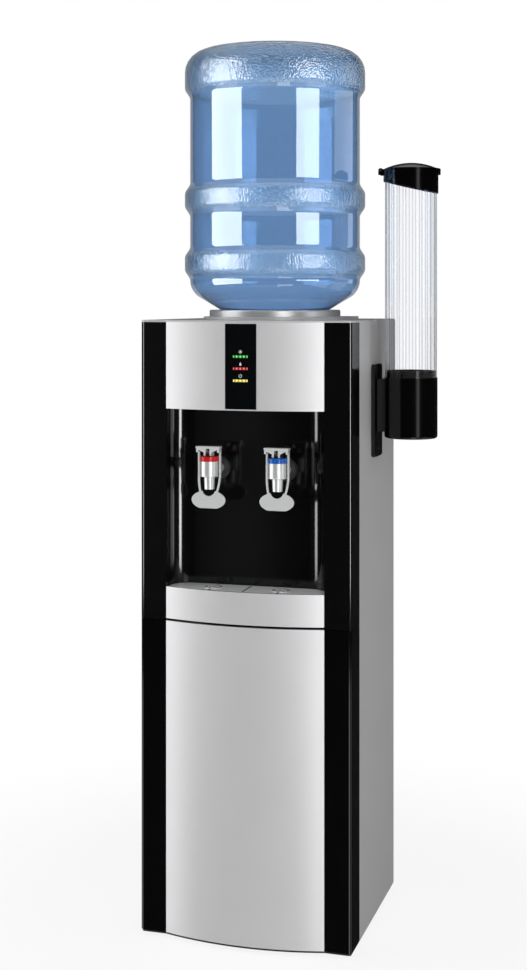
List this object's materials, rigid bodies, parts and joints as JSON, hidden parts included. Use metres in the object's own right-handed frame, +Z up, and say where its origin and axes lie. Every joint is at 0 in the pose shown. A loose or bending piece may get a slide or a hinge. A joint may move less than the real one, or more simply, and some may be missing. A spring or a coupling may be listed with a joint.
{
  "type": "water cooler",
  "caption": "Floor-standing bottled water cooler with hot and cold lever taps over a drip tray, an inverted bottle on top and a cup dispenser tube on its side.",
  "frame": {"origin": "on the floor, at the centre of the cabinet's plan, in the plane of the plinth's underside", "axes": "+X right seen from the front, +Y to the back, +Z up"},
  "size_m": [0.4068, 0.3139, 1.2799],
  "materials": {
    "silver_panel": "satin silver",
    "top_silver": "satin silver",
    "grey_steel": "satin grey",
    "rear_steel": "satin grey",
    "black_gloss": "gloss",
    "black_cup_parts": "gloss",
    "black_plastic": "matte",
    "cooling_rocker": "satin",
    "clear_tube": "clear",
    "blue_bottle": "clear blue",
    "tray_grey": "satin",
    "drain_metal": "silver",
    "tap_silver": "satin silver",
    "hot_red": "gloss",
    "cold_blue": "gloss",
    "stem_silicone": "matte",
    "pin_steel": "turned",
    "nut_plastic": "matte",
    "green_lamp": "lit",
    "red_lamp": "lit",
    "yellow_lamp": "lit",
    "board": "satin",
    "seat_plastic": "satin",
    "tank_steel": "brushed",
    "foam": "matte",
    "shelf_steel": "galvanised",
    "heater": "satin",
    "hose": "translucent silicone",
    "sink_aluminium": "extruded",
    "module_ceramic": "matte ceramic"
  },
  "bodies": {
    "cabinet": {"band_heater": "heater", "base_pan": "black_plastic", "bottle_collar": "top_silver", "bottle_seat": "seat_plastic", "cold_block": "sink_aluminium", "cold_hose": "hose", "cold_tank": "tank_steel", "cold_tap_body": "tap_silver", "cold_tap_cap": "cold_blue", "cooling_lamp": "green_lamp", "cord_gland": "black_plastic", "cup_bracket": "black_cup_parts", "display_window": "black_gloss", "fan_frame": "black_plastic", "heat_sink": "sink_aluminium", "heating_lamp": "red_lamp", "hot_feed_hose": "hose", "hot_outlet_hose": "hose", "hot_tank": "tank_steel", "hot_tap_body": "tap_silver", "hot_tap_cap": "hot_red", "lamp_board": "board", "left_side_panel": "grey_steel", "lower_front_frame": "black_gloss", "lower_trim_panel": "silver_panel", "peltier_module": "module_ceramic", "power_board": "board", "power_lamp": "yellow_lamp", "rear_panel": "rear_steel", "right_side_panel": "grey_steel", "switch_housings": "black_plastic", "tank_baffle": "seat_plastic", "tank_foam": "foam", "tank_lid": "seat_plastic", "tank_shelves": "shelf_steel", "tap_flanges": "black_cup_parts", "tap_lever_pins": "pin_steel", "tap_lock_nuts": "nut_plastic", "thermostats": "heater", "top_cover": "top_silver", "upper_front_frame": "black_gloss", "upper_trim_panel": "silver_panel"},
    "bottle": {"bottle": "blue_bottle"},
    "hot_lever": {"hot_tap_lever": "tap_silver"},
    "cold_lever": {"cold_tap_lever": "tap_silver"},
    "hot_stem": {"hot_tap_stem": "stem_silicone"},
    "cold_stem": {"cold_tap_stem": "stem_silicone"},
    "drip_tray": {"drip_basin": "black_plastic", "drip_tray_front": "silver_panel"},
    "drip_grille": {"drip_grille": "tray_grey", "drain_inserts": "drain_metal"},
    "cup_holder": {"cup_holder": "black_cup_parts", "cup_tube": "clear_tube", "cup_tube_cap": "black_cup_parts", "cup_lid_pin": "pin_steel"},
    "cup_lid": {"cup_lid": "black_cup_parts"},
    "heating_rocker": {"heating_switch": "black_plastic"},
    "cooling_rocker": {"cooling_switch": "cooling_rocker"},
    "fan": {"fan_rotor": "black_plastic"},
    "drain_cap": {"drain_cap": "black_plastic"}
  },
  "joints": [
    {"name": "bottle_lift", "type": "slide", "parent": "cabinet", "child": "bottle", "axis": [0, 0, 1], "range_m": [0, 0.12]},
    {"name": "hot_lever_push", "type": "hinge", "parent": "cabinet", "child": "hot_lever", "pos_m": [-0.05, -0.1495, 0.6914], "axis": [1, 0, 0], "range_deg": [0, 18], "stiffness_Nm_per_rad": 0.8, "springref_deg": -8.59},
    {"name": "cold_lever_push", "type": "hinge", "parent": "cabinet", "child": "cold_lever", "pos_m": [0.05, -0.1495, 0.6914], "axis": [1, 0, 0], "range_deg": [0, 18], "stiffness_Nm_per_rad": 0.8, "springref_deg": -8.59},
    {"name": "hot_stem_lift", "type": "slide", "parent": "cabinet", "child": "hot_stem", "axis": [0, 0, 1], "range_m": [0, 0.0021]},
    {"name": "cold_stem_lift", "type": "slide", "parent": "cabinet", "child": "cold_stem", "axis": [0, 0, 1], "range_m": [0, 0.0021]},
    {"name": "drip_tray_pull", "type": "slide", "parent": "cabinet", "child": "drip_tray", "axis": [0, -1, 0], "range_m": [0, 0.08]},
    {"name": "drip_grille_lift", "type": "slide", "parent": "drip_tray", "child": "drip_grille", "axis": [0, 0, 1], "range_m": [0, 0.06]},
    {"name": "cup_holder_lift", "type": "slide", "parent": "cabinet", "child": "cup_holder", "axis": [0, 0, 1], "range_m": [0, 0.1]},
    {"name": "cup_lid_open", "type": "hinge", "parent": "cup_holder", "child": "cup_lid", "pos_m": [0.1654, 0.0067, 1.0976], "axis": [0, -1, 0], "range_deg": [0, 90]},
    {"name": "heating_switch_press", "type": "hinge", "parent": "cabinet", "child": "heating_rocker", "pos_m": [0.1, 0.1385, 0.66], "axis": [1, 0, 0], "range_deg": [0, 16]},
    {"name": "cooling_switch_press", "type": "hinge", "parent": "cabinet", "child": "cooling_rocker", "pos_m": [0.1, 0.1385, 0.626], "axis": [1, 0, 0], "range_deg": [0, 16]},
    {"name": "fan_spin", "type": "hinge", "parent": "cabinet", "child": "fan", "pos_m": [0, 0.128, 0.7662], "axis": [0, 1, 0], "continuous": true},
    {"name": "drain_cap_pull", "type": "slide", "parent": "cabinet", "child": "drain_cap", "axis": [0, 1, 0], "range_m": [0, 0.03]}
  ],
  "couplings": [
    {"joint": "hot_stem_lift", "follows": "hot_lever_push", "m_per_rad": 0.0065},
    {"joint": "cold_stem_lift", "follows": "cold_lever_push", "m_per_rad": 0.0065}
  ]
}
